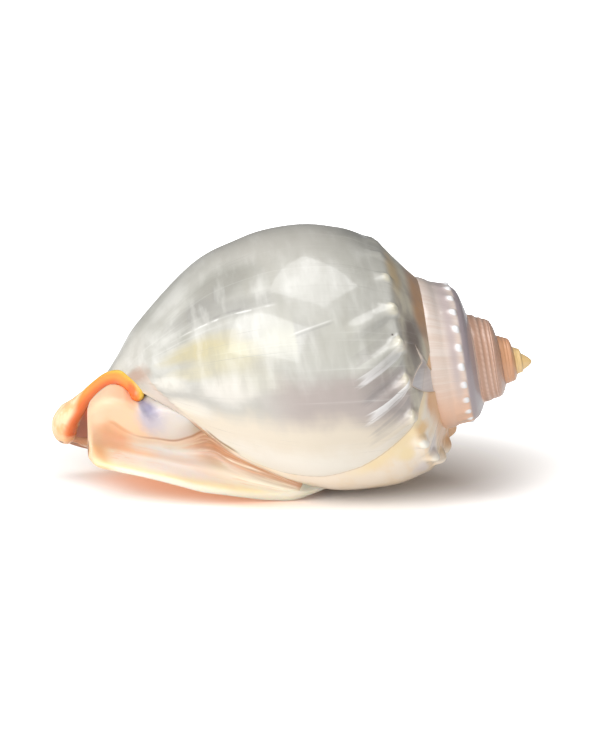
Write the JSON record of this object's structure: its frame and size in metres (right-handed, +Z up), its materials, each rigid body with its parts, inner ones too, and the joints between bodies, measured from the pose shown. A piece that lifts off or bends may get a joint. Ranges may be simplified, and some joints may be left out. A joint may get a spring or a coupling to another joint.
{
  "type": "sea shell",
  "caption": "Bonnet shell lying on its aperture: low pointed spire, swollen pearly body whorl, rolled outer lip, upturned siphonal notch and a free columellar shield over an umbilical hollow.",
  "frame": {"origin": "centre of the bounding box in plan, at the level of the surface the shell rests on", "axes": "+X points along the length to the apex of the spire, +Z is up, -Y is the columellar side with the shield's free edge"},
  "size_m": [0.0951, 0.0563, 0.0515],
  "materials": {
    "pearl": "polished pearly shell, glossy"
  },
  "bodies": {
    "root": {"shell": "pearl"}
  },
  "joints": []
}
